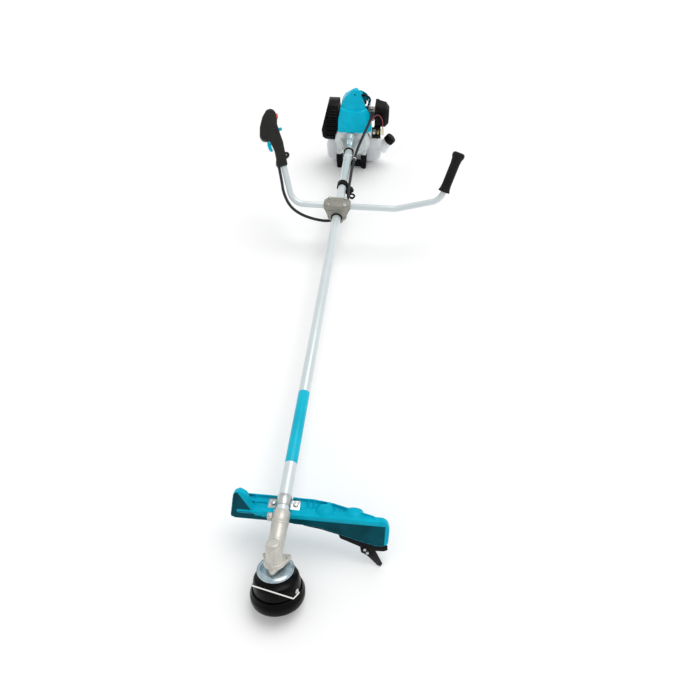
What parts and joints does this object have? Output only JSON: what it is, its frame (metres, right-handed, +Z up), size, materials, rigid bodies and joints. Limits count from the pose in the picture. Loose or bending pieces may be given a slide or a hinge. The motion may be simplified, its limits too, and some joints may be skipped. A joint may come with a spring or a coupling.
{
  "type": "brush cutter",
  "caption": "Two-stroke brush cutter: engine, clutch, long drive tube with U-shaped handlebars, bevel gearcase, guard and bump-feed line head, lying as it rests.",
  "frame": {"origin": "centre of the footprint on the resting plane, under the rim of the line head and the engine's stand", "axes": "+Y along the drive tube from the gearcase to the engine, +X towards the plain grip, +Z up"},
  "size_m": [0.6392, 1.8118, 0.3816],
  "materials": {
    "black_nylon": "moulded nylon",
    "bright_alloy": "turned",
    "cast_alloy": "cast, satin",
    "cast_dark": "heat-stained",
    "line_nylon": "extruded",
    "red_plastic": "moulded",
    "rubber": "matt",
    "silver_paint": "satin silver enamel",
    "steel": "machined",
    "tank_plastic": "translucent blow-moulded",
    "teal_plastic": "moulded, semi-gloss"
  },
  "bodies": {
    "frame": {"gearcase": "cast_alloy", "bearings": "steel", "screws": "steel", "guard_shell": "teal_plastic", "guard_bracket": "steel", "guard_extension": "black_nylon", "line_knife": "steel", "drive_tube": "silver_paint", "handlebar_left": "silver_paint", "handlebar_right": "silver_paint", "handle_clamp_top": "cast_alloy", "handle_clamp_base": "cast_alloy", "handle_clamp_lower": "cast_alloy", "rubber_bushes": "rubber", "grip_right": "rubber", "throttle_shells": "black_nylon", "throttle_cable": "rubber", "stop_wires": "rubber", "hanger_clamp": "black_nylon", "clutch_housing": "cast_alloy", "crankcase": "cast_alloy", "cylinder": "cast_alloy", "spark_plug": "steel", "plug_lead": "rubber", "ignition_coil": "black_nylon", "muffler": "cast_dark", "muffler_cover": "black_nylon", "intake_block": "black_nylon", "carburettor": "cast_alloy", "air_filter_case": "black_nylon", "air_filter_cover": "black_nylon", "cylinder_cover": "teal_plastic", "starter_housing": "black_nylon", "fuel_tank": "tank_plastic", "engine_stand": "black_nylon"},
    "head": {"ring_gear": "steel", "output_shaft": "steel", "shield_disc": "bright_alloy", "line_head_housing": "black_nylon", "line_head_base": "black_nylon", "line_eyelets": "steel", "cutting_line": "line_nylon", "spool_spring": "steel"},
    "knob": {"bump_knob": "black_nylon", "line_spool": "black_nylon"},
    "drive": {"drive_shaft": "steel", "pinion_gear": "steel", "clutch_drum": "steel"},
    "crank": {"crankshaft": "steel", "flywheel": "cast_alloy", "clutch_shoes": "steel"},
    "trigger": {"throttle_trigger": "teal_plastic"},
    "lock": {"lock_button": "teal_plastic"},
    "switch": {"stop_switch": "red_plastic"},
    "arm": {"throttle_arm": "steel"},
    "choke": {"choke_lever": "black_nylon"},
    "cap": {"fuel_cap": "black_nylon"},
    "pulley": {"starter_pulley": "black_nylon"},
    "pull": {"starter_handle": "black_nylon"},
    "hanger_screw": {"hanger_knob": "black_nylon"}
  },
  "joints": [
    {"name": "drive_spin", "type": "hinge", "parent": "frame", "child": "drive", "pos_m": [-0.06445, -0.80842, 0.12412], "axis": [0, 1, 0], "continuous": true},
    {"name": "head_spin", "type": "hinge", "parent": "frame", "child": "head", "pos_m": [-0.06445, -0.80842, 0.12412], "axis": [-0.0632, 0.4226, 0.9041], "continuous": true},
    {"name": "bump_feed", "type": "slide", "parent": "head", "child": "knob", "axis": [-0.0632, 0.4226, 0.9041], "range_m": [0, 0.005], "stiffness_N_per_m": 900, "springref_m": -0.006, "deforming": ["spool_spring"]},
    {"name": "crank_spin", "type": "hinge", "parent": "frame", "child": "crank", "pos_m": [-0.06445, -0.80842, 0.12412], "axis": [0, 1, 0], "continuous": true},
    {"name": "trigger_squeeze", "type": "hinge", "parent": "frame", "child": "trigger", "pos_m": [-0.28613, 0.43128, 0.29842], "axis": [0.2518, -0.7195, 0.6472], "range_deg": [0, 20], "stiffness_Nm_per_rad": 0.6, "springref_deg": -20.05},
    {"name": "throttle_turn", "type": "hinge", "parent": "frame", "child": "arm", "pos_m": [0.00056, 0.83158, 0.21012], "axis": [0, 0, -1], "range_deg": [0, 60]},
    {"name": "lock_press", "type": "slide", "parent": "frame", "child": "lock", "axis": [-0.926, -0.3735, -0.055], "range_m": [0, 0.004], "stiffness_N_per_m": 600, "springref_m": -0.003},
    {"name": "stop_slide", "type": "slide", "parent": "frame", "child": "switch", "axis": [-0.2813, 0.5855, 0.7603], "range_m": [-0.003, 0.003]},
    {"name": "choke_swing", "type": "hinge", "parent": "frame", "child": "choke", "pos_m": [0.02556, 0.77458, 0.20812], "axis": [0, 1, 0], "range_deg": [0, 45]},
    {"name": "cap_lift", "type": "slide", "parent": "frame", "child": "cap", "axis": [0.6606, 0, 0.7507], "range_m": [0, 0.06]},
    {"name": "pulley_turn", "type": "hinge", "parent": "frame", "child": "pulley", "pos_m": [-0.06445, 0.87158, 0.12412], "axis": [0, -1, 0], "range_deg": [0, 105.72], "stiffness_Nm_per_rad": 0.02, "springref_deg": -45.84},
    {"name": "rope_pull", "type": "slide", "parent": "frame", "child": "pull", "axis": [0, 0, 1], "range_m": [0, 0.045]},
    {"name": "hanger_screw_turn", "type": "hinge", "parent": "frame", "child": "hanger_screw", "pos_m": [-0.04429, 0.47658, 0.10397], "axis": [0.7071, 0, 0.7071], "continuous": true}
  ],
  "couplings": [
    {"joint": "head_spin", "follows": "drive_spin", "ratio": 0.73684},
    {"joint": "throttle_turn", "follows": "trigger_squeeze", "ratio": 3},
    {"joint": "pulley_turn", "follows": "rope_pull", "rad_per_m": 40.984}
  ]
}
